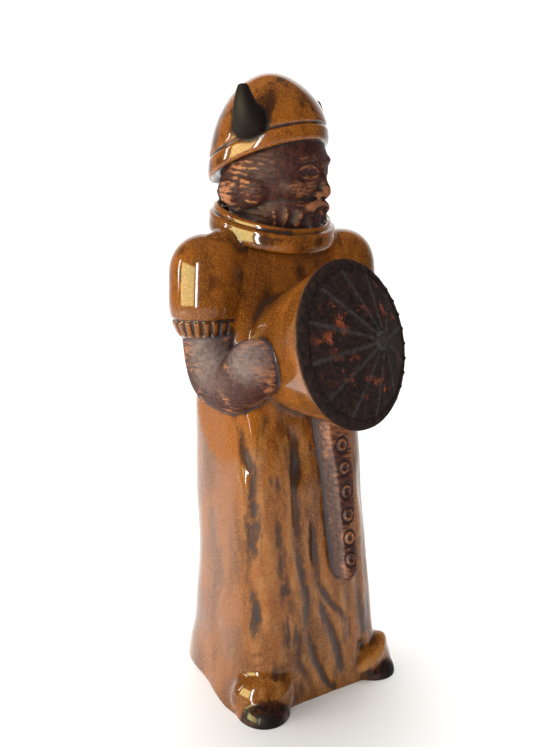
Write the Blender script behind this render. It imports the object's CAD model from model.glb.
import math

import bmesh
import bpy
import numpy as np
from mathutils import Matrix, Vector, noise
from mathutils.bvhtree import BVHTree
from mathutils.kdtree import KDTree


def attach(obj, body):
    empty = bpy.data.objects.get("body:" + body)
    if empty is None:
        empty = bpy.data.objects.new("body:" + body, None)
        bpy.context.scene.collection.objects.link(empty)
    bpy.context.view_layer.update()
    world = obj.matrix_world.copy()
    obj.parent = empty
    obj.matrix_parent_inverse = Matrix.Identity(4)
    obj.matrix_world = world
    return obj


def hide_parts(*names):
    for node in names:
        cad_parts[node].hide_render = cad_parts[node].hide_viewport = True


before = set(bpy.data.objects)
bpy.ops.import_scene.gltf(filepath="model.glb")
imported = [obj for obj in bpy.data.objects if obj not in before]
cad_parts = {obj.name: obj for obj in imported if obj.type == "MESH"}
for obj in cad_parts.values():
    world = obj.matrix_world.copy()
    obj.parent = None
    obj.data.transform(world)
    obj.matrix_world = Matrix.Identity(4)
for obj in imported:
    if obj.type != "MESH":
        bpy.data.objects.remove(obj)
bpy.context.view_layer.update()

# A glazed stoneware viking figurine: amber glaze over one cast body, with bare clay on the face,
# hair, forearms and scabbard, and black on the horns, the shield's face and the toes.
# Lengths in the dictionaries are millimetres; the figurine faces -Y and its right arm is at -X.

mm = 0.001

camera = {
    "place": (-198.3, -302.4, 207.9),
    "heading": 33.0,  # degrees from +Y towards +X
    "pitch": -10.5,
    "focalPixels": 808.0,
    "imageHeight": 747,
    "sensor": 36.0,
}


def makeCamera():
    data = bpy.data.cameras.new("camera")
    data.sensor_width = camera["sensor"]
    data.lens = camera["focalPixels"] / camera["imageHeight"] * data.sensor_width
    data.clip_start = 0.01
    eye = bpy.data.objects.new("camera", data)
    heading, pitch = math.radians(camera["heading"]), math.radians(camera["pitch"])
    eye.location = Vector(camera["place"]) * mm
    eye.rotation_euler = (math.pi / 2 + pitch, 0.0, -heading)
    bpy.context.scene.collection.objects.link(eye)
    bpy.context.scene.camera = eye


makeCamera()
print("camera placed")


# Tools for shapes. Points are numpy arrays in millimetres.

def spline(knots, values, at):
    knots, values, at = np.asarray(knots, float), np.asarray(values, float), np.asarray(at, float)
    slopes = np.gradient(values, knots, axis=0)
    i = np.clip(np.searchsorted(knots, at, side="right") - 1, 0, len(knots) - 2)
    gap = knots[i + 1] - knots[i]
    t = (at - knots[i]) / gap
    if values.ndim > 1:
        gap, t = gap[:, None], t[:, None]
    start = (2 * t**3 - 3 * t**2 + 1) * values[i] + (t**3 - 2 * t**2 + t) * gap * slopes[i]
    return start + (3 * t**2 - 2 * t**3) * values[i + 1] + (t**3 - t**2) * gap * slopes[i + 1]


def bump(x, width):  # a smooth hill of height 1
    return np.exp(-((x / width) ** 2))


def rise(x, soft):  # 0 below zero and 1 above
    return 1 / (1 + np.exp(-np.clip(x / soft, -30, 30)))


def placed(points, place):
    m = np.array(place)
    return np.asarray(points) @ m[:3, :3].T + m[:3, 3]


def inFrame(points, place):
    return placed(points, place.inverted())


def loft(rings, closed=False):  # (points, faces) of a skin through rings of equal count
    n, count = len(rings[0]), len(rings)
    faces = []
    for r in range(count if closed else count - 1):
        a, b = r * n, (r + 1) % count * n
        faces += [(a + i, a + (i + 1) % n, b + (i + 1) % n, b + i) for i in range(n)]
    if not closed:
        faces.append(tuple(reversed(range(n))))
        faces.append(tuple(range((count - 1) * n, count * n)))
    return np.concatenate(rings), faces


def ball(centre, radii, place=Matrix.Identity(4), turn=0.0):
    rings = []
    a = np.radians(np.arange(0, 360, 10))
    for tilt in np.radians(np.linspace(-86, 86, 22)):
        x, y = np.cos(tilt) * np.cos(a), np.cos(tilt) * np.sin(a)
        rings.append(np.stack([x, y, np.full(len(a), np.sin(tilt))], 1))
    points, faces = loft(rings)
    spin = np.array(Matrix.Rotation(math.radians(turn), 3, "Z"))
    return placed((points * radii) @ spin.T + centre, place), faces


def limb(path, radii, place=Matrix.Identity(4), samples=28, roundEnds=True):  # a tube along a smooth path
    knots = np.linspace(0, 1, len(path))
    at = np.linspace(0, 1, samples)
    centres, reach = spline(knots, path, at), spline(knots, radii, at)
    ahead = np.gradient(centres, at, axis=0)
    side = Vector(ahead[0]).orthogonal()
    around = np.radians(np.arange(0, 360, 360 / 28))[:, None]
    rings = []
    for c, d, r in zip(centres, ahead, reach):
        d = Vector(d).normalized()
        side = (side - d * side.dot(d)).normalized()
        over = np.array(d.cross(side))
        rings.append(c + r * (np.cos(around) * np.array(side) + np.sin(around) * over))
    points, faces = loft(rings)
    shapes = [(placed(points, place), faces)]
    if roundEnds:
        shapes += [ball(centres[e], [reach[e]] * 3, place) for e in (0, -1)]
    return shapes


def meshOf(name, shapes):
    points, faces, start = [], [], 0
    for p, f in shapes:
        points.append(p)
        faces += [tuple(i + start for i in face) for face in f]
        start += len(p)
    mesh = bpy.data.meshes.new(name)
    mesh.from_pydata(np.concatenate(points) * mm, [], faces)
    work = bmesh.new()
    work.from_mesh(mesh)
    bmesh.ops.recalc_face_normals(work, faces=work.faces)
    work.to_mesh(mesh)
    work.free()
    return mesh


def readPoints(mesh):
    flat = np.empty(len(mesh.vertices) * 3, np.float32)
    mesh.vertices.foreach_get("co", flat)
    return flat.reshape(-1, 3).astype(float) / mm


def readNormals(mesh):
    flat = np.empty(len(mesh.vertices) * 3, np.float32)
    mesh.vertices.foreach_get("normal", flat)
    return flat.reshape(-1, 3).astype(float)


def writePoints(mesh, points):
    mesh.vertices.foreach_set("co", (points * mm).astype(np.float32).ravel())
    mesh.update()


# Frames of the head and of the shield

head = {
    "neck": (0.0, 10.5, 0.0),
    "turn": 26.0,  # towards the figure's left
    "rim": 234.8,  # height of the helmet's rim at the side
    "tipBack": 18.5,  # degrees that the rim lifts in front
    "bandTip": 16.5,  # and that the groove above the band lifts
}
headFrame = Matrix.Translation(head["neck"]) @ Matrix.Rotation(math.radians(head["turn"]), 4, "Z")
rimSlope = math.tan(math.radians(head["tipBack"]))
bandSlope = math.tan(math.radians(head["bandTip"]))

shield = {
    "centre": (4.6, -45.7, 159.5),
    "turn": 15.0,
    "lean": 12.0,
    "radius": 35.5,
    "backRadius": 25.0,
    "dome": 15.0,
    "drum": 33.0,
    "rimWidth": 4.6,
    "panels": 12,
    "twist": 0.12,  # how far the ridges are turned, in radians
    "studs": 32,
    "boss": 3.6,
}
shieldFrame = (
    Matrix.Translation(shield["centre"])
    @ Matrix.Rotation(math.radians(shield["turn"]), 4, "Z")
    @ Matrix.Rotation(math.radians(90 - shield["lean"]), 4, "X")
)

# Robe: height, middle, half width, reach to the front and to the back, and the squareness of the left
# front corner, of the right front one and of the two behind

robe = {
    "stations": (
        (-5, -1.0, 38.0, 36.0, 43.5, 6.5, 6.5, 3.4),
        (0, -1.0, 38.0, 36.0, 43.5, 6.5, 6.5, 3.4),
        (8, -1.0, 37.6, 35.5, 41.6, 5.6, 6.0, 3.4),
        (20, -0.6, 36.8, 34.0, 38.4, 4.8, 5.6, 3.3),
        (36, -0.6, 36.0, 33.0, 37.1, 4.5, 5.4, 3.2),
        (48, -0.5, 35.4, 32.0, 36.4, 4.3, 5.4, 3.1),
        (60, -0.3, 35.1, 30.5, 36.7, 4.1, 5.4, 3.0),
        (72, -0.3, 35.1, 29.5, 36.9, 3.8, 5.4, 3.0),
        (84, -0.3, 35.3, 28.3, 38.4, 3.5, 5.4, 2.9),
        (96, 0.0, 35.3, 27.5, 38.7, 3.3, 5.4, 2.9),
        (108, 0.4, 35.4, 26.0, 39.3, 3.1, 5.2, 2.8),
        (124, 0.8, 35.8, 24.0, 38.8, 2.9, 5.0, 2.8),
        (140, 0.2, 34.6, 21.0, 37.0, 3.0, 5.0, 2.6),
        (155, 0.2, 33.6, 17.0, 35.0, 3.0, 5.0, 2.4),
        (170, 0.2, 33.4, 13.6, 33.0, 3.0, 5.0, 2.3),
        (182, 0.4, 33.0, 11.4, 31.0, 2.8, 4.6, 2.2),
        (191, 0.6, 31.5, 9.4, 29.0, 2.4, 3.6, 2.1),
        (198, 0.6, 27.5, 9.5, 27.5, 2.1, 2.4, 2.0),
        (204, 0.3, 21.5, 6.0, 25.5, 2.0, 2.0, 2.0),
        (209, 0.0, 15.0, 3.0, 23.0, 2.0, 2.0, 2.0),
    ),
    "cornerFlare": 5.5,  # how far the front corners spread at the hem
    "flareTop": 17.0,
}


def robeShapes():
    stations = np.array(robe["stations"], float)
    levels = np.linspace(stations[0, 0], stations[-1, 0], 120)
    a = np.radians(np.arange(0, 360, 2.5))
    rings = []
    for z, section in zip(levels, spline(stations[:, 0], stations[:, 1:], levels)):
        middle, width, front, back, leftCorner, rightCorner, behind = section
        square = np.where(np.sin(a) > 0, behind, np.where(np.cos(a) > 0, leftCorner, rightCorner))
        x = np.sign(np.cos(a)) * np.abs(np.cos(a)) ** (2 / square)
        y = np.sign(np.sin(a)) * np.abs(np.sin(a)) ** (2 / square)
        flare = robe["cornerFlare"] * max(0.0, 1 - max(0.0, z) / robe["flareTop"]) ** 1.5
        x = middle + (width + flare * rise(-y - 0.25, 0.15) * rise(np.abs(x) - 0.6, 0.1)) * x
        rings.append(np.stack([x, (back - front) / 2 + (back + front) / 2 * y, np.full(len(a), z)], 1))
    return [loft(rings)]


# Sleeves and forearms, given for the right side; the left one mirrors it

arms = {
    "sleevePath": ((-36.7, 4.0, 189.0), (-37.4, 3.6, 181.0), (-38.0, 2.9, 172.0), (-37.3, 2.2, 161.5)),
    "sleeveRadii": (15.9, 15.7, 15.3, 12.5),
    "shoulder": ((-36.7, 4.0, 188.2), (15.9, 15.5, 16.0)),
    "slopePath": ((-13.5, 8.0, 200.4), (-33.5, 4.5, 190.8)),
    "slopeRadii": (10.0, 12.6),
    "armPath": (
        (-37.3, 2.2, 168.0),
        (-35.8, 0.9, 151.0),
        (-34.6, -2.6, 142.2),
        (-33.0, -12.0, 141.2),
        (-32.2, -20.5, 145.0),
        (-32.2, -27.5, 150.5),
    ),
    "armRadii": (11.6, 12.0, 11.8, 11.9, 11.8, 12.2),
    "leftOut": -2.0,  # how much farther out the left shoulder sits
    "leftUp": 2.0,  # how much higher
    "leftHandIn": -0.5,  # and how much closer in the left hand
    "cuffFoot": 160.6,
    "cuffTall": 7.6,
    "cuffRibs": 21,
}


def across(point, side):
    x, y, z = point
    if side < 0:
        return np.array((x, y, z))
    reach = min(1.0, max(0.0, -y / 27.5))
    lift = arms["leftUp"] * min(1.0, max(0.0, (z - 165) / 20))
    return np.array((-x + arms["leftOut"] - arms["leftHandIn"] * reach, y, z + lift))


def sleeveShapes(side):
    centre, radii = arms["shoulder"]
    shapes = limb([across(p, side) for p in arms["sleevePath"]], arms["sleeveRadii"], roundEnds=False)
    shapes.append(ball(across(centre, side), radii))
    return shapes + limb([across(p, side) for p in arms["slopePath"]], arms["slopeRadii"])


def armShapes(side):
    return limb([across(p, side) for p in arms["armPath"]], arms["armRadii"], samples=44)


collar = {
    "turn": -11.0,
    "radius": 25.8,
    "length": 25.2,  # its radius from front to back
    "middle": -2.2,
    "width": 7.6,  # half of the rolled band, which slopes outwards
    "thick": 3.0,
    "slope": 76.0,
    "height": 208.2,
    "drop": 0.28,
    "frontShare": 0.74,
    "sideLift": 1.8,  # how much higher it runs at the figure's right
}
collarFrame = Matrix.Translation(head["neck"]) @ Matrix.Rotation(math.radians(collar["turn"]), 4, "Z")


def aboveCollar(p):  # height over the collar's own slanted plane
    c = inFrame(p, collarFrame)
    lift = collar["sideLift"] * np.clip(-c[:, 0] / collar["radius"], 0, 1)
    return c[:, 2] - collar["height"] - collar["drop"] * c[:, 1] - lift


def collarShapes():
    s = np.radians(np.arange(0, 360, 15))
    slope = math.radians(collar["slope"])
    rings = []
    for a in np.radians(np.arange(0, 360, 4)):
        share = 1 - (1 - collar["frontShare"]) * (1 - math.sin(a)) / 2
        along, off = collar["width"] * share * np.cos(s), collar["thick"] * share * np.sin(s)
        out = along * math.cos(slope) + off * math.sin(slope)
        x = (collar["radius"] + out) * math.cos(a)
        y = collar["middle"] + (collar["length"] + out) * math.sin(a)
        level = collar["height"] + collar["drop"] * (collar["middle"] + collar["length"] * math.sin(a))
        level += collar["sideLift"] * max(0.0, -math.cos(a))
        rings.append(np.stack([x, y, level - along * math.sin(slope) + off * math.cos(slope)], 1))
    points, faces = loft(rings, closed=True)
    return [(placed(points, collarFrame), faces)]


# Head: skull, face, beard and hair, in the head's frame with the face towards -Y

hair = {
    # for each curl over the ears and behind them: bearing from the face, height, half width, half height
    "curls": ((80, 222.6, 7.4, 7.0), (119, 222.0, 7.2, 6.4), (157, 221.4, 7.2, 6.2)),
    "reach": 19.4,  # from the head's middle to the middle of a curl
    "depth": 5.2,
    "strands": 0.14,
}
face = {
    "eyeApart": 8.3,
    "eyeHeight": 229.0,
    "eyeHalf": 4.7,
    "lidTop": 2.3,
    "lidLow": 1.5,
    "beardTop": 215.0,
    "beardStrands": 0.6,
    # neck, skull, back of the head, jaw and chin: centre and radii
    "middle": (
        ((0, 0, 208), (17, 17, 18)),
        ((0, -2.0, 231), (22.6, 24.8, 25.0)),
        ((0, 2.4, 224), (22.0, 21.0, 16.0)),
        ((0, -7.5, 213.0), (17.8, 17.8, 12.5)),
        ((0, -16.0, 207.6), (11.4, 9.8, 7.4)),
    ),
    # cheek and side of the nose: centre and radii, mirrored for the other side
    "paired": (
        ((11.0, -17.2, 222.8), (6.8, 6.6, 5.4)),
        ((2.5, -25.6, 220.2), (1.8, 2.3, 1.6)),
    ),
    # path, radii and samples of the nose, and of the brow, the moustache and the lower lip of one side
    "nose": (((0, -24.6, 232), (0, -26.4, 226.5), (0, -28.0, 221.2)), (1.7, 1.9, 2.3), 14),
    "tubes": (
        (((2.2, -25.2, 234.0), (8.4, -23.8, 235.4), (15.0, -18.4, 233.0)), (1.5, 1.9, 1.2), 14),
        (((1.2, -26.2, 216.6), (5.6, -24.8, 215.4), (10.0, -21.4, 211.6), (12.2, -18.8, 206.6)),
         (1.4, 1.9, 1.6, 0.9), 18),
        (((-0.4, -25.4, 212.4), (4.2, -24.0, 212.8)), (1.2, 0.9), 8),
    ),
}


def headShapes():
    shapes = [ball(centre, radii, headFrame) for centre, radii in face["middle"]]
    path, radii, samples = face["nose"]
    shapes += limb(path, radii, headFrame, samples=samples)
    for side in (-1, 1):
        for (x, y, z), radii in face["paired"]:
            shapes.append(ball((x * side, y, z), radii, headFrame))
        for path, radii, samples in face["tubes"]:
            shapes += limb([(x * side, y, z) for x, y, z in path], radii, headFrame, samples=samples)
        for bearing, height, width, tall in hair["curls"]:
            a = math.radians(bearing)
            out = (math.sin(a) * side * hair["reach"], -math.cos(a) * hair["reach"], height)
            shapes.append(ball(out, (width, hair["depth"], tall), headFrame, turn=bearing * side))
    return shapes


helmet = {
    "centre": (-0.3, 1.2),
    "half": (25.5, 26.8),  # half width and half length
    "crown": 273.0,
    "spring": 241.0,
    "power": 1.8,
    "band": 7.3,
    "hornForward": (10.0, 15.0),  # the right and the left horn
    "hornRoot": 9.0,
    "hornTip": 2.1,
}


def helmetShapes():
    rim, crown, spring = head["rim"], helmet["crown"], helmet["spring"]
    profile = [(rim + 2.2, 0.90), (rim + 0.3, 0.955), (rim, 0.985), (rim + 0.7, 1.004), (rim + 3.0, 1.008)]
    for h in np.linspace(0, 0.995, 30):
        profile.append((spring + (crown - spring) * h, (1 - h ** helmet["power"]) ** (1 / helmet["power"])))
    a = np.radians(np.arange(0, 360, 4))
    rings = []
    for z, r in profile:
        fade = 1 - max(0.0, z - rim) / (crown - rim)
        x = helmet["centre"][0] * r + helmet["half"][0] * r * np.cos(a)
        y = helmet["centre"][1] * r + helmet["half"][1] * r * np.sin(a)
        rings.append(np.stack([x, y, z - rimSlope * fade * y], 1))
    points, faces = loft(rings)
    return [(placed(points, headFrame), faces)]


def hornShapes(side):
    a = math.radians(helmet["hornForward"][side > 0])
    out = np.array((math.cos(a) * side, -math.sin(a), 0.0))
    path = [out * 17.0 + (0, 0, 247.6), out * 24.5 + (0, 0, 250.2), out * 28.4 + (0, 0.2, 256.4),
            out * 29.4 + (0, 0.6, 264.0)]
    root, tip = helmet["hornRoot"], helmet["hornTip"]
    return limb(path, (root, root * 0.78, root * 0.53, tip), headFrame, roundEnds=False)


def shieldShapes():
    r, back, drum = shield["radius"], shield["backRadius"], shield["drum"]
    profile = [(back - 3, -drum - 6)]
    profile += [(back + (r - back) * t, drum * (t - 1)) for t in np.linspace(0, 1, 10)]
    profile += [(r * s, shield["dome"] * (1 - s**1.1)) for s in np.linspace(0.98, 0.02, 20)]
    a = np.radians(np.arange(0, 360, 3))
    rings = [np.stack([q * np.cos(a), q * np.sin(a), np.full(len(a), t)], 1) for q, t in profile]
    points, faces = loft(rings)
    return [(placed(points, shieldFrame), faces)]


# Scabbard: height, front's left and right edge, back's left and right edge, depth of its front

scabbard = {
    "stations": (
        (52.5, 8.2, 11.2, 7.0, 13.0, -38.0),
        (54.5, 7.2, 12.4, 5.6, 14.4, -39.6),
        (58, 6.5, 13.6, 4.8, 15.2, -40.0),
        (72, 5.6, 13.2, 3.2, 15.2, -39.0),
        (88, 4.7, 13.2, 1.7, 15.2, -37.6),
        (104, 3.0, 13.0, 0.8, 15.0, -36.4),
        (118, 0.6, 12.5, -0.4, 14.6, -35.4),
        (136, -0.8, 12.0, -1.4, 14.0, -34.0),
    ),
    "depth": 17.0,
    "bevels": ((-0.3, 1.2), (0.5, 0.0), (-0.6, 0.0), (0.3, 1.4)),  # across and back from the front's edges
    "rings": (114.6, 104.4, 93.9, 83.3, 72.9, 63.2),
    "ringRadius": 2.7,
}


def scabbardShapes():
    rings = []
    for z, fl, fr, bl, br, y in scabbard["stations"]:
        corners = [(edge + u, y + v) for edge, (u, v) in zip((fl, fl, fr, fr), scabbard["bevels"])]
        corners = [(bl, y + scabbard["depth"]), *corners, (br, y + scabbard["depth"])]
        rings.append(np.array([(u, v, z) for u, v in corners]))
    return [loft(rings)]


feet = {
    "right": (-30.5, -30.0, 9.0),  # where the toes' middle is, and how tall they are
    "left": (28.5, -26.5, 10.6),
    "toes": (12.4, 15.4),
    "instep": (14.2, 10.4, 12.0),
    "splay": 22.0,
    "capFrom": 5.6,  # how far forward of the toes' middle the black cap starts
    "capCurve": 0.012,
    "leftHeel": ((32.0, -27.0, 3.0), (9.4, 11.0, 13.0)),
    "strap": ((36.0, -28.5, 13.0), (31.0, -33.0, 10.6), (25.5, -34.8, 8.4), (20.0, -34.6, 7.0)),
    "strapRadii": (4.0, 4.4, 4.2, 3.4),
    "dents": (
        ((-34.5, -40.0, 18.6), 2.4, 1.5),
        ((-28.6, -40.6, 16.6), 2.6, 1.5),
        ((-21.5, -37.5, 17.4), 3.4, 2.2),
        ((22.0, -36.0, 16.4), 2.8, 2.0),
        ((29.0, -35.0, 16.5), 2.2, 1.2),
    ),
}


def toeShapes(side):
    x, y, tall = feet["right"] if side < 0 else feet["left"]
    return [ball((x, y, 0.3), (*feet["toes"], tall), turn=side * feet["splay"])]


def instepShapes(side):
    x, y, _ = feet["right"] if side < 0 else feet["left"]
    shapes = [ball((x * 0.97, y * 0.95, 5.5), feet["instep"], turn=side * feet["splay"])]
    if side < 0:
        return shapes
    centre, radii = feet["leftHeel"]
    return shapes + [ball(centre, radii)] + limb(feet["strap"], feet["strapRadii"])


def footRelief(p):  # hollows where the instep runs into the robe, and the toe cap's edge
    out = np.zeros(len(p))
    for place, radius, deep in feet["dents"]:
        out -= deep * bump(np.linalg.norm(p - place, axis=1), radius)
    return out


# The cast body

body = {
    "voxel": 0.52,
    "relaxRounds": 11,
    "bleedRounds": 7,
    "poolRounds": 16,
    "filletRounds": 140,
    "triangles": 192000,
    "armpit": 4.5,  # how far the fillet between a sleeve and the robe reaches
    "elbow": ((-38.0, -12.0, 152.0), 8.0),  # the bend's inner side and how far it is softened
    "evening": 0.6,  # strength of a round of evening out
    "seamReach": 1.6,
    "crisp": {"shield": 0.75, "horns": 0.4, "head": 0.45},  # what softens least
}


def fuse(groups):
    shapes = [shape for group in groups.values() for shape in group]
    obj = bpy.data.objects.new("figurine", meshOf("figurine", shapes))
    bpy.context.scene.collection.objects.link(obj)
    join = obj.modifiers.new("fuse", "REMESH")
    join.mode = "VOXEL"
    join.voxel_size = body["voxel"] * mm
    bake(obj)
    return obj


def bake(obj):  # the evaluated mesh becomes the object's own
    graph = bpy.context.evaluated_depsgraph_get()
    mesh = bpy.data.meshes.new_from_object(obj.evaluated_get(graph))
    obj.modifiers.clear()
    obj.data = mesh


def edgePairs(mesh):
    flat = np.empty(len(mesh.edges) * 2, np.int32)
    mesh.edges.foreach_get("vertices", flat)
    return flat.reshape(-1, 2)


def relax(values, pairs, strength, rounds):  # evens values out along the edges
    count = len(values)
    a, b = pairs[:, 0], pairs[:, 1]
    degree = np.bincount(a, minlength=count) + np.bincount(b, minlength=count)
    values = values.copy()
    for _ in range(rounds):
        mean = np.empty_like(values)
        for k in range(values.shape[1]):
            v = values[:, k]
            mean[:, k] = (np.bincount(a, v[b], count) + np.bincount(b, v[a], count)) / degree
        values += strength * (mean - values)
    return values


def wander(points, scale, seed):  # smooth noise from about -1 to 1
    shift = Vector((seed * 7.3, seed * 3.1, seed * 5.7))
    return np.array([noise.noise(Vector(p) + shift) for p in (points * scale).tolist()])


folds = {
    # for each fold of the front: its path as (height, place across), half width and depth
    "front": (
        (((37, -31.9), (45, -31.6), (56, -33.3), (73, -32.2), (86, -31.4), (100, -30.7), (111, -32.5),
          (126, -33.8)), 1.9, 1.8),
        (((66, -31.4), (86, -29.8), (106, -28.4)), 3.0, 0.8),
        (((42, -16.2), (53, -19.2), (62, -19.4), (75, -20.4), (90, -20.6), (99, -19.8)), 2.8, 1.2),
        (((28, -20.6), (38, -21.8), (52, -23.0)), 2.4, 0.9),
        (((3, 1.4), (10, -2.4), (18, -5.3), (28, -7.6), (38, -8.2), (48, -8.6), (58, -10.4), (66, -11.1),
          (82, -11.3), (96, -11.6), (106, -10.6), (119, -9.4)), 2.0, 1.8),
        (((101, -9.4), (107, -8.1), (114, -8.8), (122, -13.2)), 2.5, 0.9),
        (((31, 12.9), (38, 7.6), (44, 2.8), (52, -1.9), (58, -3.0), (66, -3.8), (78, -3.6)), 2.1, 1.3),
        (((9, 9.0), (16, 8.2), (23, 6.7), (30, 3.8), (36, 1.0), (42, -0.9)), 2.3, 1.6),
        (((18, -14.3), (24, -13.4), (31, -13.2)), 2.1, 1.1),
        (((16, -15.0), (24, -17.9)), 1.9, 0.8),
        (((8, -9.4), (18, -13.6)), 1.9, 1.0),
        (((1, 4.2), (5, 1.0)), 2.2, 1.0),
        (((118, -21.8), (124, -24.6)), 2.5, 0.8),
        (((22, 14.9), (40, 14.7), (46, 14.2)), 1.9, 0.9),
        (((8, 18.0), (18, 21.6), (36, 21.4), (70, 20.0), (104, 20.5)), 2.2, 1.1),
        (((20, 27.5), (60, 27.5), (98, 27.0)), 2.4, 1.0),
        (((33, -33.2), (40, -32.4)), 1.9, 0.8),
        (((24, -36.0), (27, -29.0)), 2.4, 0.6),
    ),
    # the sides and the back: bearing from the front, lowest and highest point, half width in degrees, depth
    "around": (
        (70, -10, 60, 5, 0.7), (92, 20, 118, 6, 0.8), (112, -10, 90, 5, 1.0), (133, 10, 128, 5, 1.2),
        (156, -10, 84, 5, 1.1), (178, 26, 150, 5, 1.3), (201, -10, 96, 5, 1.0), (220, 10, 110, 5, 0.7),
    ),
}


def foldDepth(p, normals):
    x, y, z = p.T
    depth = np.zeros(len(p))
    sway = 0.8 * wander(p * (1, 1, 0.35), 0.06, 3)
    swell = 1 + 0.45 * wander(p * (1, 1, 0.6), 0.11, 4)
    facing = rise(-normals[:, 1] - 0.30, 0.08) * rise(-y - 8, 1.5)
    for path, width, deep in folds["front"]:
        path = np.array(path, float)
        line = spline(path[:, 0], path[:, 1], np.clip(z, path[0, 0] - 2, path[-1, 0] + 2)) + sway
        run = rise(z - path[0, 0] + 0.8, 1.4) * rise(path[-1, 0] + 0.8 - z, 1.8)
        depth += facing * run * deep * bump(x - line, width * 1.25) * swell
    bearing = np.degrees(np.arctan2(x, -(y - 3))) % 360
    for angle, low, high, width, deep in folds["around"]:
        off = (bearing - angle + 180) % 360 - 180 + sway * 3
        depth += (1 - facing) * rise(z - low, 4) * rise(high - z, 9) * deep * bump(off, width) * swell
    return depth


def robeRelief(p, depth):
    return -0.62 * depth + 0.25 * wander(p * (1, 1, 0.5), 0.09, 5)


def cuffRelief(p):  # (relief, how far down between the ribs)
    x, y, z = p.T
    out, gaps = np.zeros(len(p)), np.zeros(len(p))
    top = arms["cuffFoot"] + arms["cuffTall"]
    for side in (-1, 1):
        centre = across(arms["sleevePath"][-1], side)
        reach = np.hypot(x - centre[0], y - centre[1])
        around = np.arctan2(y - centre[1], x - centre[0])
        near = rise(17.5 - reach, 0.4) * rise(reach - 11.0, 0.3)
        cuff = near * rise(z - arms["cuffFoot"] - 1.2, 0.25) * rise(top - 0.6 - z, 0.3)
        gap = rise(-np.cos(arms["cuffRibs"] * around) - 0.35, 0.16) * cuff
        line = near * bump(z - top, 0.6)
        out += -1.25 * gap - 0.9 * line + 0.15 * cuff
        gaps = np.maximum(gaps, np.maximum(gap, line))
    return out, gaps


def helmetRelief(h):
    x, y, z = h.T
    r = np.hypot(x, y)
    near = rise(r - 22.0, 0.3) * rise(31.5 - r, 0.4) * rise(z - head["rim"] + rimSlope * y + 0.6, 0.2)
    level = z - head["rim"] + bandSlope * y - helmet["band"]
    return near * (0.35 * rise(-level, 0.4) - 1.1 * bump(level - 0.6, 0.8))


def collarRelief(p):  # a fold along the collar's upper edge
    x, y, z = inFrame(p, collarFrame).T
    slope = math.radians(collar["slope"])
    away = y - collar["middle"]
    bearing = np.arctan2(away / collar["length"], x / collar["radius"])
    reach = np.hypot(collar["radius"] * np.cos(bearing), collar["length"] * np.sin(bearing))
    out = np.hypot(x, away) - reach
    along = out * math.cos(slope) - aboveCollar(p) * math.sin(slope)
    return 0.35 * bump(along + 1.2, 0.9) - 0.9 * bump(along + 3.3, 0.8)


def headRelief(h, overCollar):  # eyes, strands of the beard and of the hair
    x, y, z = h.T
    bearing = np.degrees(np.arctan2(x, -y))
    side = np.abs(bearing)
    skin = rise(head["rim"] - 0.6 - rimSlope * y - z, 0.4) * rise(overCollar, 0.6)
    skin *= rise(30.5 - np.hypot(x, y), 0.4)
    front = rise(-y - 10, 1.0)

    u = (np.abs(x) - face["eyeApart"]) / face["eyeHalf"]
    arch = np.clip(1 - u * u, 0, 1)
    up = z - face["eyeHeight"]
    top, low = face["lidTop"] * arch, -face["lidLow"] * arch
    opening = rise(top - up, 0.22) * rise(up - low, 0.22) * rise(1 - np.abs(u), 0.06)
    out = front * -2.3 * bump(u * face["eyeHalf"], 4.4) * bump(up, 3.1)
    out += front * opening * (1.2 * arch - 0.5)
    lids = 0.55 * bump(up - top - 0.7, 0.6) + 0.4 * bump(up - low + 0.7, 0.6)
    out += front * rise(1.15 - np.abs(u), 0.08) * lids
    out -= front * rise(1.1 - np.abs(u), 0.08) * 0.35 * bump(up - top - 1.9, 0.5)

    beard = rise(face["beardTop"] - z - side * 0.03, 0.8) * rise(62 - side, 4)
    wave = np.cos(np.radians(bearing) * 26 + wander(h * (1, 1, 0.6), 0.22, 8) * 2.0)
    out += beard * face["beardStrands"] * (wave - 0.4)
    locks = rise(side - 58, 3) * (1 - beard)
    out += locks * hair["strands"] * np.cos(z * 2.4 - side * 0.16 + wander(h, 0.2, 9) * 3.0)
    return out * skin


def shieldRidges(s):  # (distance to the middle, to the nearest ridge and to the nearest panel's middle line)
    r = np.hypot(s[:, 0], s[:, 1])
    around = np.arctan2(s[:, 1], s[:, 0]) + shield["twist"]
    pitch = 2 * math.pi / shield["panels"]
    off = np.abs(around % pitch - pitch / 2)
    return r, off * r, (pitch / 2 - off) * r


def shieldRelief(s):  # how far the shield's face stands out along its axis
    r, off, _ = shieldRidges(s)
    inner = shield["radius"] - shield["rimWidth"]
    out = 0.4 * rise(r - inner, 0.2) - 0.3 * bump(r - inner + 0.3, 0.5)
    out += 0.65 * bump(off, 0.75) * rise(inner - r - 0.8, 0.3) * rise(r - shield["boss"], 0.3)
    out += 0.9 * rise(shield["boss"] - r, 0.25) - 0.5 * bump(r - shield["boss"] - 0.6, 0.5)
    out -= 0.5 * bump(r - shield["boss"] * 0.55, 0.4)
    pitch = 2 * math.pi / shield["studs"]
    off = np.abs(np.arctan2(s[:, 1], s[:, 0]) % pitch - pitch / 2) * r
    out += 0.9 * bump(np.hypot(off, r - shield["radius"] + shield["rimWidth"] / 2), 0.9)
    return out


def ringCentre(z):
    stations = np.array(scabbard["stations"])
    return np.interp(z, stations[:, 0], (stations[:, 1] + stations[:, 2]) / 2)


def ringRelief(p):
    x, y, z = p.T
    out = np.zeros(len(p))
    for height in scabbard["rings"]:
        r = np.hypot(x - ringCentre(height), (z - height) * 0.86)
        out += 0.35 * bump(r - scabbard["ringRadius"] + 0.9, 0.6) - 0.6 * bump(r, 0.7)
        out -= 0.75 * bump(r - scabbard["ringRadius"] - 0.2, 0.5)
    return out


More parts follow.
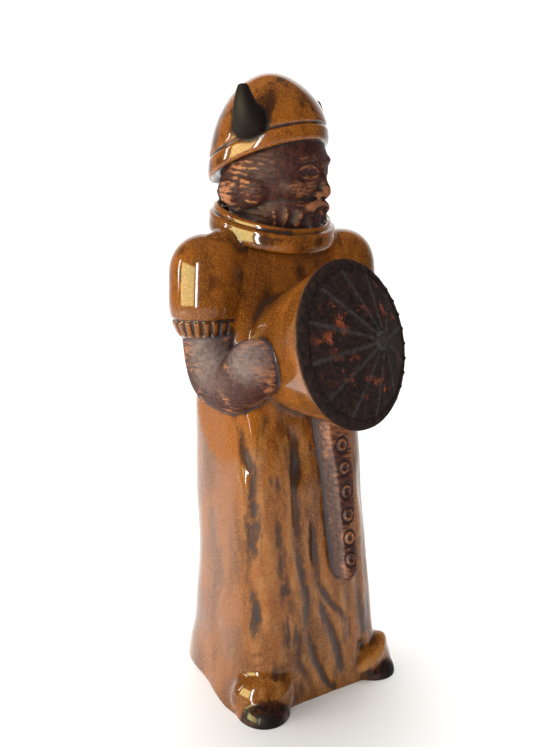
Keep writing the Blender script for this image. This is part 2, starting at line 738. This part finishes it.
def nearness(points, shapes, reach=6.0):  # distance to a group of shapes, up to reach
    mesh = meshOf("near", shapes)
    corners = readPoints(mesh)
    tree = BVHTree.FromPolygons(corners.tolist(), [tuple(f.vertices) for f in mesh.polygons])
    bpy.data.meshes.remove(mesh)
    far = np.full(len(points), reach)
    low, high = corners.min(0) - reach, corners.max(0) + reach
    for i in np.flatnonzero(((points > low) & (points < high)).all(1)).tolist():
        found = tree.find_nearest(points[i].tolist(), reach)[3]
        if found is not None:
            far[i] = found
    return far


seams = {
    # where two forms meet: how deep and how wide the line between them is, and how much glaze pools in it
    ("robe", "sleeves"): (0.3, 1.6, 0.30),
    ("robe", "collar"): (1.3, 0.8, 0.55),
    ("collar", "head"): (1.4, 0.9, 0.55),
    ("helmet", "head"): (0.9, 0.7, 0.55),
    ("robe", "scabbard"): (0.9, 0.6, 0.55),
    ("robe", "shield"): (0.3, 0.8, 0.25),
    ("robe", "arms"): (0.8, 0.8, 0.55),
    ("sleeves", "arms"): (0.9, 0.7, 0.55),
    ("arms", "shield"): (0.7, 0.7, 0.55),
    ("robe", "toes"): (0.3, 0.6, 0.55),
    ("helmet", "horns"): (0.5, 0.7, 0.55),
}


def seamLines(far, pairs):  # (depth of the crease, glaze pooled in it) where two forms meet
    crease, pooled = np.zeros(len(far["robe"])), np.zeros(len(far["robe"]))
    for (a, b), (deep, wide, share) in seams.items():
        line = bump(far[a] - far[b], wide) * bump(np.minimum(far[a], far[b]), body["seamReach"])
        crease = np.maximum(crease, deep * line)
        pooled = np.maximum(pooled, share * line)
    return relax(crease[:, None], pairs, body["evening"], body["bleedRounds"])[:, 0], pooled


def soften(p, pairs, near, far):  # (points, fillet) with the forms run into each other as in a glazed cast
    keep, s = body["crisp"], inFrame(p, shieldFrame)
    crisp = near["shield"] * rise(s[:, 2] + 1.5, 0.5) * keep["shield"]
    crisp = crisp + near["horns"] * keep["horns"] + near["head"] * keep["head"]
    p = relax(p, pairs, (0.5 * (1 - np.clip(crisp, 0, 0.9)))[:, None], body["relaxRounds"])
    fillet = bump(far["robe"], body["armpit"]) * bump(far["sleeves"], body["armpit"]) * (1 - near["collar"])
    bend, reach = body["elbow"]
    for side in (-1, 1):
        away = np.linalg.norm(p - across(bend, side), axis=1)
        fillet = np.maximum(fillet, near["arms"] * bump(away, reach))
    strength = body["evening"] * np.clip(fillet * 1.4, 0, 1)
    return relax(p, pairs, strength[:, None], body["filletRounds"]), fillet


def carve(obj, groups):
    mesh = obj.data
    p, pairs = readPoints(mesh), edgePairs(mesh)
    far = {name: nearness(p, shapes) for name, shapes in groups.items()}
    near = {name: rise(np.min([far[o] for o in far if o != name], axis=0) - far[name], 0.25) for name in far}
    crease, seamPools = seamLines(far, pairs)
    p, fillet = soften(p, pairs, near, far)
    writePoints(mesh, p)
    normals = readNormals(mesh)

    h, s = inFrame(p, headFrame), inFrame(p, shieldFrame)
    stations = np.array(scabbard["stations"])
    front = np.interp(p[:, 2], stations[:, 0], stations[:, 5])
    onFace = near["shield"] * rise(s[:, 2] + 0.9, 0.15)
    onRings = near["scabbard"] * rise(front + 2.2 - p[:, 1], 0.3) * rise(-normals[:, 1] - 0.7, 0.05)

    depth = near["robe"] * foldDepth(p, normals)
    dents = -footRelief(p)
    cuffs, gaps = cuffRelief(p)
    out = near["robe"] * robeRelief(p, depth)
    out += near["collar"] * collarRelief(p) + near["sleeves"] * cuffs + near["helmet"] * helmetRelief(h)
    out += near["head"] * headRelief(h, aboveCollar(p))
    out += onRings * ringRelief(p) - crease * (1 - onFace) - dents
    p = p + normals * out[:, None]
    p += np.outer(onFace * shieldRelief(s), np.array(shieldFrame.col[2].xyz))
    writePoints(mesh, p)

    pools = relax(np.clip(depth / 1.9, 0, 1.2)[:, None], pairs, body["evening"], body["poolRounds"])[:, 0]
    hollow = near["sleeves"] * gaps + seamPools + np.clip(dents / 1.6, 0, 1.2)
    hollow = pools + relax(hollow[:, None], pairs, body["evening"], body["bleedRounds"])[:, 0]
    return near, far, onFace, hollow, fillet


def cavity(mesh):  # how hollow (over 0) or proud (under 0) the surface is, at two scales
    p, pairs, normals = readPoints(mesh), edgePairs(mesh), readNormals(mesh)
    fine = relax(p, pairs, body["evening"], 8)
    broad = relax(fine, pairs, body["evening"], 60)
    return ((fine - p) * normals).sum(1), ((broad - p) * normals).sum(1)


def alongFoot(p):  # how far forward a point lies on the foot of its own side
    best = np.full(len(p), -99.0)
    for side in (-1, 1):
        x, y, _ = feet["right"] if side < 0 else feet["left"]
        a = math.radians(side * feet["splay"])
        forward = (p[:, 0] - x) * math.sin(a) - (p[:, 1] - y) * math.cos(a)
        sideways = (p[:, 0] - x) * math.cos(a) + (p[:, 1] - y) * math.sin(a)
        best = np.where(np.sign(p[:, 0]) == side, forward - feet["capCurve"] * sideways**2, best)
    return best


run = {  # a run of clear amber below the right forearm
    "lowest": 106.0,
    "middle": -4.5,
    "curve": 0.030,
    "wobble": 0.8,
    "inner": 28.0,  # it stays on the robe's right side
    "front": 25.5,
}


def amberRun(p):
    edge = run["lowest"] + run["curve"] * (p[:, 1] - run["middle"]) ** 2 + run["wobble"] * wander(p, 0.14, 11)
    inside = rise(-p[:, 0] - run["inner"], 0.8) * rise(p[:, 1] + run["front"], 0.6)
    return rise(p[:, 2] - edge, 0.35) * inside


def paint(obj, near, far, onFace, hollow, fillet):  # the values that the material reads, point by point
    mesh = obj.data
    p = readPoints(mesh)
    normals = readNormals(mesh)
    fine, broad = cavity(mesh)
    r, off, middle = shieldRidges(inFrame(p, shieldFrame))
    clay = np.clip(near["head"] + near["arms"] + near["scabbard"], 0, 1)
    glazed = np.minimum.reduce([far["robe"], far["sleeves"], far["shield"]])
    ahead = alongFoot(p) - feet["capFrom"]
    clear = near["robe"] * amberRun(p)
    toe = near["toes"] * rise(ahead, 0.3)
    horn = rise(1.3 - far["horns"], 0.35) * rise(p[:, 2] - 230, 1)
    ridges = bump(off, 0.8) * rise(shield["radius"] - shield["rimWidth"] - r, 0.4)
    onSkin = near["head"] * rise(-inFrame(p, headFrame)[:, 1] - 9.0, 2.0)
    onSheathFront = near["scabbard"] * rise(-normals[:, 1] - 0.7, 0.05)
    onSheathSide = near["scabbard"] * rise(-normals[:, 0] - 0.55, 0.08)
    armsLight = near["arms"] * rise(normals @ np.array((-0.62, -0.62, 0.48)) - 0.72, 0.10)
    chest = near["robe"] * rise(p[:, 2] - 145, 6)
    return {
        "clay": clay,
        "edge": 4 * clay * (1 - clay) + clay * bump(glazed, 1.3),
        "black": np.clip(horn + toe + onFace, 0, 1),
        "toe": toe * bump(ahead - 4.0, 3.0),
        "line": onFace * np.maximum(ridges, bump(r - shield["boss"], 0.7)),
        "spot": onFace * bump(middle, 3.0) * bump(r - 20.5, 5.0),
        "fine": fine,
        "broad": broad,
        "face": onFace,
        "rub": 0.92 - 0.42 * onSkin - 0.42 * onSheathFront - 0.15 * near["arms"],
        "bloom": 0.8 * armsLight + 0.45 * onSheathSide,
        "hollow": hollow,
        "front": near["robe"] * rise(-normals[:, 1] - 0.45, 0.08) * rise(134 - p[:, 2], 4),
        "mottled": np.clip(near["helmet"] + near["collar"] + 0.7 * near["sleeves"] + 0.6 * chest, 0, 1),
        "dull": np.maximum(fillet * (1 - near["arms"]), clear),
        "run": clear,
    }


def thinOut(obj, marks):  # fewer triangles where the surface is plain; the marks follow the nearest point
    tree = KDTree(len(obj.data.vertices))
    for i, v in enumerate(obj.data.vertices):
        tree.insert(v.co, i)
    tree.balance()
    obj.data.calc_loop_triangles()
    fewer = obj.modifiers.new("fewer", "DECIMATE")
    fewer.ratio = body["triangles"] / len(obj.data.loop_triangles)
    fewer.use_collapse_triangulate = True
    bake(obj)
    cutFlat(obj)
    source = np.array([tree.find(v.co)[1] for v in obj.data.vertices])
    for name, values in marks.items():
        layer = obj.data.attributes.new(name, "FLOAT", "POINT")
        layer.data.foreach_set("value", values[source].astype(np.float32))


def strayPoints(work):  # the points of every loose part but the largest, such as a pocket inside the cast
    seen, parts = set(), []
    for start in work.verts:
        if start in seen:
            continue
        seen.add(start)
        part, ahead = [start], [start]
        while ahead:
            for edge in ahead.pop().link_edges:
                for point in edge.verts:
                    if point not in seen:
                        seen.add(point)
                        part.append(point)
                        ahead.append(point)
        parts.append(part)
    largest = max(parts, key=len)
    return [point for part in parts if part is not largest for point in part]


def cutFlat(obj):
    work = bmesh.new()
    work.from_mesh(obj.data)
    bmesh.ops.delete(work, geom=strayPoints(work), context="VERTS")
    bmesh.ops.dissolve_degenerate(work, dist=1e-7, edges=work.edges)
    whole = [*work.verts, *work.edges, *work.faces]
    cut = bmesh.ops.bisect_plane(
        work, geom=whole, dist=1e-6, plane_co=(0, 0, 0), plane_no=(0, 0, 1), clear_inner=True
    )
    rim = [e for e in cut["geom_cut"] if isinstance(e, bmesh.types.BMEdge)]
    bmesh.ops.contextual_create(work, geom=rim)
    work.to_mesh(obj.data)
    work.free()


# Glazes and bare clay, in one material

glaze = {
    "amber": (0.265, 0.080, 0.010),
    "caramel": (0.140, 0.042, 0.006),
    "tan": (0.430, 0.185, 0.050),
    "run": (0.290, 0.085, 0.006),
    "gold": (0.520, 0.220, 0.040),
    "brown": (0.046, 0.016, 0.006),
    "pooled": (0.030, 0.022, 0.021),
    "clayDark": (0.030, 0.012, 0.011),
    "clayWarm": (0.080, 0.026, 0.018),
    "clayRubbed": (0.480, 0.190, 0.078),
    "clayBloom": (0.250, 0.190, 0.175),
    "clayEdge": (0.050, 0.052, 0.075),
    "black": (0.007, 0.006, 0.006),
    "toeRed": (0.070, 0.016, 0.006),
    "shieldDark": (0.030, 0.015, 0.013),
    "lineGrey": (0.045, 0.040, 0.039),
    "spotRed": (0.560, 0.120, 0.045),
}


patterns = {
    # noises: cells per metre, stretch along the height, detail, roughness and warp
    "clouds": (60.0, 0.45, 4.0, 0.60, 0.0),
    "drips": (170.0, 0.45, 3.0, 0.60, 0.0),
    "mottles": (95.0, 0.70, 3.0, 0.55, 0.0),
    "patchy": (230.0, 0.55, 3.0, 0.60, 0.0),
    "streaks": (210.0, 0.22, 3.0, 0.60, 0.0),
    "speckle": (1900.0, 1.0, 2.0, 0.60, 0.0),
    "grain": (520.0, 1.0, 3.0, 0.65, 0.0),
    "strokes": (260.0, 3.20, 3.0, 0.70, 0.4),
    "patches": (55.0, 1.0, 2.0, 0.50, 0.0),
    "wear": (120.0, 1.0, 4.0, 0.65, 0.0),
    "waves": (190.0, 1.0, 2.0, 0.50, 0.0),
}

finish = {
    "coatRoughness": 0.03,
    "coatIor": 1.36,
    "ior": 1.22,
    "glaze": (0.10, 0.20),  # roughness of the glaze below its coat
    "clay": (0.62, 0.42),  # of the clay between its strokes and on them
    "black": 0.60,
    "shieldMore": 0.35,  # how much rougher the shield's face is
    "toeLess": 0.30,  # how much smoother the toe caps are
    "bumpStrength": 0.22,
    "bumpDistance": 0.0006,
}


class Nodes:  # short names for the shader nodes that the glaze is wired from
    def __init__(self, tree):
        self.tree = tree
        self.made = {}
        self.where = self.make("ShaderNodeTexCoord").outputs["Object"]

    def make(self, kind, inputs=None, **options):
        node = self.tree.nodes.new(kind)
        for key, value in options.items():
            setattr(node, key, value)
        for key, value in (inputs or {}).items():
            self.feed(node.inputs[key], value)
        return node

    def feed(self, socket, value):
        if isinstance(value, bpy.types.NodeSocket):
            self.tree.links.new(value, socket)
        else:
            socket.default_value = value

    def mark(self, name):  # a value painted on the mesh
        if name not in self.made:
            self.made[name] = self.make("ShaderNodeAttribute", attribute_name=name).outputs["Fac"]
        return self.made[name]

    def pattern(self, name):
        if name not in self.made:
            scale, tall, detail, rough, warp = patterns[name]
            where = self.make("ShaderNodeMapping", {"Vector": self.where, "Scale": (1, 1, tall)}).outputs[0]
            inputs = {"Vector": where, "Scale": scale, "Detail": detail, "Roughness": rough, "Distortion": warp}
            self.made[name] = self.make("ShaderNodeTexNoise", inputs).outputs["Fac"]
        return self.made[name]

    def math(self, operation, a, b, clamp=False):
        node = self.make("ShaderNodeMath", operation=operation, use_clamp=clamp)
        self.feed(node.inputs[0], a)
        self.feed(node.inputs[1], b)
        return node.outputs[0]

    def add(self, a, b, clamp=False):
        return self.math("ADD", a, b, clamp)

    def less(self, a, b, clamp=False):
        return self.math("SUBTRACT", a, b, clamp)

    def times(self, a, b, clamp=False):
        return self.math("MULTIPLY", a, b, clamp)

    def span(self, value, low, high, start=0.0, end=1.0):  # low..high becomes start..end, with soft ends
        node = self.make("ShaderNodeMapRange", interpolation_type="SMOOTHSTEP")
        inputs = {"Value": value, "From Min": low, "From Max": high, "To Min": start, "To Max": end}
        for key, item in inputs.items():
            self.feed(node.inputs[key], item)
        return node.outputs["Result"]

    def blend(self, amount, first, second):
        node = self.make("ShaderNodeMix", data_type="RGBA")
        self.feed(node.inputs[0], amount)
        for socket, colour in ((node.inputs[6], first), (node.inputs[7], second)):
            self.feed(socket, colour if isinstance(colour, bpy.types.NodeSocket) else (*colour, 1.0))
        return node.outputs[2]

    def hollows(self, fine, broad):  # over 0 in hollows and under 0 on swells, at two scales
        return self.add(self.times(self.mark("fine"), fine), self.times(self.mark("broad"), broad))


def glazeColour(n):  # amber, golden on the robe's ridges, clouded elsewhere, pooled and dark in hollows
    drips, mottles, speckle = n.pattern("drips"), n.pattern("mottles"), n.pattern("speckle")
    colour = n.blend(n.span(n.pattern("clouds"), 0.40, 0.62), glaze["caramel"], glaze["amber"])
    ridge = n.add(n.hollows(-3.0, -0.8), n.span(drips, 0.35, 0.7, -0.2, 0.5))
    ridge = n.times(n.span(ridge, -0.1, 0.9), n.mark("front"))
    colour = n.blend(n.times(ridge, 0.75), colour, glaze["tan"])
    colour = n.blend(n.times(n.mark("run"), 0.92), colour, glaze["run"])
    colour = n.blend(n.span(speckle, 0.50, 0.70, 0.0, 0.50), colour, glaze["brown"])
    colour = n.blend(n.span(speckle, 0.50, 0.30, 0.0, 0.50), colour, glaze["gold"])
    streaks = n.times(n.span(n.pattern("streaks"), 0.46, 0.68, 0.05, 0.75), n.mark("front"))
    hollow = n.add(n.hollows(2.0, 0.9), streaks)
    pools = n.times(n.mark("hollow"), n.span(mottles, 0.36, 0.60, 0.35, 1.1))
    hollow = n.add(hollow, n.times(pools, n.span(n.pattern("patchy"), 0.34, 0.62, 0.35, 1.35)))
    hollow = n.add(hollow, n.span(drips, 0.35, 0.75, -0.30, 0.30))
    hollow = n.add(hollow, n.times(n.span(mottles, 0.44, 0.64, 0.0, 1.1), n.mark("mottled")))
    colour = n.blend(n.times(n.span(hollow, 0.0, 1.0), 0.85), colour, glaze["brown"])
    return n.blend(n.times(n.span(hollow, 0.60, 1.9), 0.90), colour, glaze["pooled"])


def clayColour(n):  # dark in its hollows, rubbed light across its swells by fine strokes
    grain = n.pattern("grain")
    strokes = n.span(n.pattern("strokes"), 0.35, 0.7, -0.5, 0.5)
    patches = n.span(n.pattern("patches"), 0.40, 0.66, -0.75, 0.45)
    rubbed = n.add(n.times(n.hollows(-5.0, -0.8), 0.6), n.add(strokes, patches))
    bare = n.blend(n.span(grain, 0.35, 0.65), glaze["clayDark"], glaze["clayWarm"])
    bare = n.blend(n.times(n.span(rubbed, -0.12, 0.90), n.mark("rub")), bare, glaze["clayRubbed"])
    bare = n.blend(n.span(n.hollows(5.0, 1.2), 0.25, 1.3), bare, glaze["pooled"])
    bare = n.blend(n.times(n.mark("bloom"), n.span(grain, 0.3, 0.7, 0.55, 1.0)), bare, glaze["clayBloom"])
    return n.blend(n.times(n.mark("edge"), 0.7, clamp=True), bare, glaze["clayEdge"])


def blackColour(n):  # horns, toe caps and the shield's face, with grey ridges and worn red spots
    grain = n.pattern("grain")
    dark = n.blend(n.times(n.mark("face"), n.span(grain, 0.3, 0.7)), glaze["black"], glaze["shieldDark"])
    dark = n.blend(n.times(n.mark("toe"), n.span(grain, 0.38, 0.62)), dark, glaze["toeRed"])
    dark = n.blend(n.times(n.mark("line"), n.span(grain, 0.3, 0.6, 0.25, 0.9)), dark, glaze["lineGrey"])
    return n.blend(n.times(n.mark("spot"), n.span(n.pattern("wear"), 0.53, 0.64)), dark, glaze["spotRed"])


def glazeMaterial():
    material = bpy.data.materials.new("amberGlaze")
    material.use_nodes = True
    shader = material.node_tree.nodes["Principled BSDF"]
    n = Nodes(material.node_tree)
    clay, black, strokes = n.mark("clay"), n.mark("black"), n.pattern("strokes")
    colour = n.blend(black, n.blend(clay, glazeColour(n), clayColour(n)), blackColour(n))
    n.feed(shader.inputs["Base Color"], colour)

    glossy = n.span(n.pattern("speckle"), 0.3, 0.7, *finish["glaze"])
    rough = n.add(n.times(glossy, n.less(1.0, clay)), n.times(n.span(strokes, 0.3, 0.7, *finish["clay"]), clay))
    satin = n.less(n.add(finish["black"], n.times(n.mark("face"), finish["shieldMore"])),
                   n.times(n.mark("toe"), finish["toeLess"]))
    rough = n.add(n.times(rough, n.less(1.0, black)), n.times(satin, black))
    n.feed(shader.inputs["Roughness"], rough)

    matt = n.add(clay, n.times(black, n.less(1.0, n.mark("toe"))), clamp=True)
    n.feed(shader.inputs["Coat Weight"], n.less(n.less(1.0, matt), n.mark("dull"), clamp=True))
    shader.inputs["Coat Roughness"].default_value = finish["coatRoughness"]
    shader.inputs["Coat IOR"].default_value = finish["coatIor"]
    shader.inputs["IOR"].default_value = finish["ior"]

    height = n.add(n.times(n.pattern("waves"), 0.5), n.times(n.times(strokes, matt), 0.9))
    inputs = {"Height": height, "Strength": finish["bumpStrength"], "Distance": finish["bumpDistance"]}
    n.feed(shader.inputs["Normal"], n.make("ShaderNodeBump", inputs).outputs["Normal"])
    return material


def makeFigurine():
    groups = {
        "robe": robeShapes() + instepShapes(-1) + instepShapes(1),
        "sleeves": sleeveShapes(-1) + sleeveShapes(1),
        "arms": armShapes(-1) + armShapes(1),
        "collar": collarShapes(),
        "head": headShapes(),
        "helmet": helmetShapes(),
        "horns": hornShapes(-1) + hornShapes(1),
        "shield": shieldShapes(),
        "scabbard": scabbardShapes(),
        "toes": toeShapes(-1) + toeShapes(1),
    }
    piece = fuse(groups)
    print("fused", len(piece.data.vertices), "points")
    near, far, onFace, hollow, fillet = carve(piece, groups)
    print("carved")
    marks = paint(piece, near, far, onFace, hollow, fillet)
    thinOut(piece, marks)
    print("thinned to", len(piece.data.polygons), "faces")
    piece.data.shade_smooth()
    piece.data.materials.append(glazeMaterial())
    return piece


figurine = makeFigurine()
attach(figurine, "root")
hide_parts("viking_statue")


# Stage, in metres: a pale sweep, windows at the left that only the glaze mirrors, and soft lights

studio = {
    "floor": (0.96, 0.96, 0.95),
    "floorRoughness": 0.8,
    "sweepFront": -2.5,
    "sweepBack": 1.1,
    "sweepHeight": 1.6,
    "sweepBend": 0.5,  # radius of the sweep's curve
    "sweepHalf": 3.0,
    "world": (0.85, 0.88, 0.92),
    "worldStrength": 0.08,
    # name, place, aim, size, power and colour of each light, and whether it only lights or only glints
    "lights": (
        ("window", (-0.60, -0.40, 0.32), (0.0, 0.0, 0.17), (0.07, 0.50), 5.4, (1.0, 0.98, 0.94), "glint"),
        ("windowWide", (-0.70, -0.05, 0.28), (0.0, 0.0, 0.17), (0.56, 0.36), 9.0, (1.0, 0.88, 0.36), "glint"),
        ("windowBack", (-0.74, 0.42, 0.38), (0.0, 0.0, 0.16), (0.06, 0.34), 1.8, (1.0, 0.98, 0.95), "glint"),
        ("softLeft", (-0.75, 0.10, 0.16), (0.0, 0.0, 0.12), (0.5, 0.3), 4.4, (1.0, 0.97, 0.93), "soft"),
        ("softFront", (-0.55, -0.95, 0.50), (0.0, 0.0, 0.14), (0.5, 0.5), 6.0, (1.0, 0.97, 0.93), "soft"),
        ("above", (0.0, 0.22, 1.3), (0.0, 0.22, 0.0), (0.9, 0.7), 11.0, (1.0, 1.0, 1.0), "soft"),
        ("backWall", (0.25, 0.35, 1.5), (0.55, 0.85, 0.4), (1.2, 0.6), 12.0, (1.0, 1.0, 1.0), "soft"),
    ),
}


def makeFloor():
    heading = math.radians(camera["heading"])
    ahead = Vector((math.sin(heading), math.cos(heading), 0.0))
    side = Vector((ahead.y, -ahead.x, 0.0))
    back, bend, half = studio["sweepBack"], studio["sweepBend"], studio["sweepHalf"]
    profile = [(studio["sweepFront"], 0.0), (back - bend, 0.0)]
    profile += [(back - bend + bend * math.sin(a), bend - bend * math.cos(a))
                for a in np.radians(np.arange(10, 91, 10)).tolist()]
    profile.append((back, studio["sweepHeight"]))
    rings = [[ahead * u + side * w + Vector((0, 0, v)) for u, v in profile] for w in (-half, half)]
    mesh = bpy.data.meshes.new("floor")
    n = len(profile)
    mesh.from_pydata(rings[0] + rings[1], [], [(i, i + 1, n + i + 1, n + i) for i in range(n - 1)])
    mesh.shade_smooth()
    floor = bpy.data.objects.new("floor", mesh)
    bpy.context.scene.collection.objects.link(floor)
    material = bpy.data.materials.new("paleFloor")
    material.use_nodes = True
    shader = material.node_tree.nodes["Principled BSDF"]
    shader.inputs["Base Color"].default_value = (*studio["floor"], 1.0)
    shader.inputs["Roughness"].default_value = studio["floorRoughness"]
    mesh.materials.append(material)


def makeLight(name, place, aim, size, power, colour, job):
    data = bpy.data.lights.new(name, "AREA")
    data.shape = "RECTANGLE"
    data.size, data.size_y = size
    data.energy = power
    data.color = colour
    light = bpy.data.objects.new(name, data)
    light.location = place
    light.rotation_euler = (Vector(aim) - Vector(place)).to_track_quat("-Z", "Y").to_euler()
    light.visible_glossy = job == "glint"
    light.visible_diffuse = job == "soft"
    bpy.context.scene.collection.objects.link(light)


def makeWorld():
    world = bpy.data.worlds.new("studio")
    world.use_nodes = True
    back = world.node_tree.nodes["Background"]
    back.inputs["Color"].default_value = (*studio["world"], 1.0)
    back.inputs["Strength"].default_value = studio["worldStrength"]
    bpy.context.scene.world = world
    bpy.context.scene.view_settings.view_transform = "Standard"


makeFloor()
makeWorld()
for light in studio["lights"]:
    makeLight(*light)
print("stage set")
